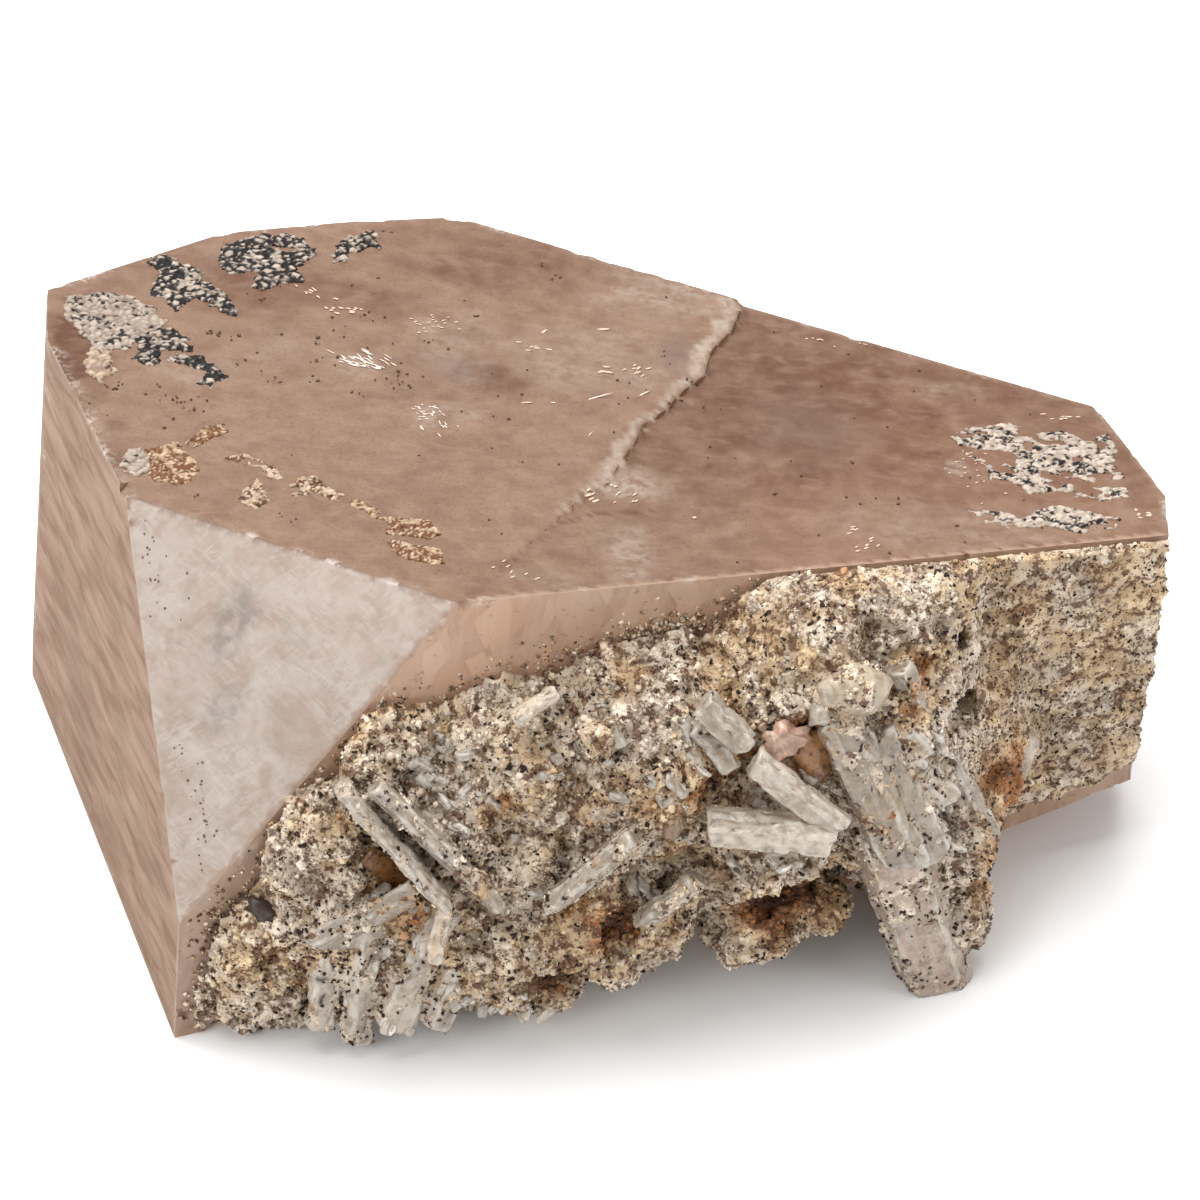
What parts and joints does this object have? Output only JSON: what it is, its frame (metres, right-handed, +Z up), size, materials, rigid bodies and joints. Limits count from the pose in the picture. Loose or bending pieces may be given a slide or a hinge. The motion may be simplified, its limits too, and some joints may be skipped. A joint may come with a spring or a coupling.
{
  "type": "topaz crystal",
  "caption": "Broad prismatic topaz crystal lying on a flat base, with sugary albite on its long front wall and thin mineral crusts on its top.",
  "frame": {"origin": "centre of the footprint of the specimen's bounding box, on the surface it lies on", "axes": "+X along the specimen's longest extent, towards the end of the albite-covered wall; +Z up; the albite looks towards -Y"},
  "size_m": [0.0628, 0.0466, 0.0287],
  "materials": {
    "topaz": "clear to cloudy brownish pink crystal with dull natural faces",
    "albite": "rough sugary grains with ochre stain and black specks",
    "speckled_crust": "matt white grains peppered with black",
    "ochre_crust": "matt ochre grains",
    "white_crust": "matt white grains"
  },
  "bodies": {
    "root": {"topaz_crystal": "topaz", "albite_matrix": "albite", "grey_crust_left": "speckled_crust", "grey_crust_back": "speckled_crust", "grey_crust_small": "speckled_crust", "ochre_crust_left": "ochre_crust", "ochre_crust_middle": "ochre_crust", "ochre_crust_right": "ochre_crust", "white_crust_right": "white_crust", "white_crust_edge": "white_crust"}
  },
  "joints": []
}
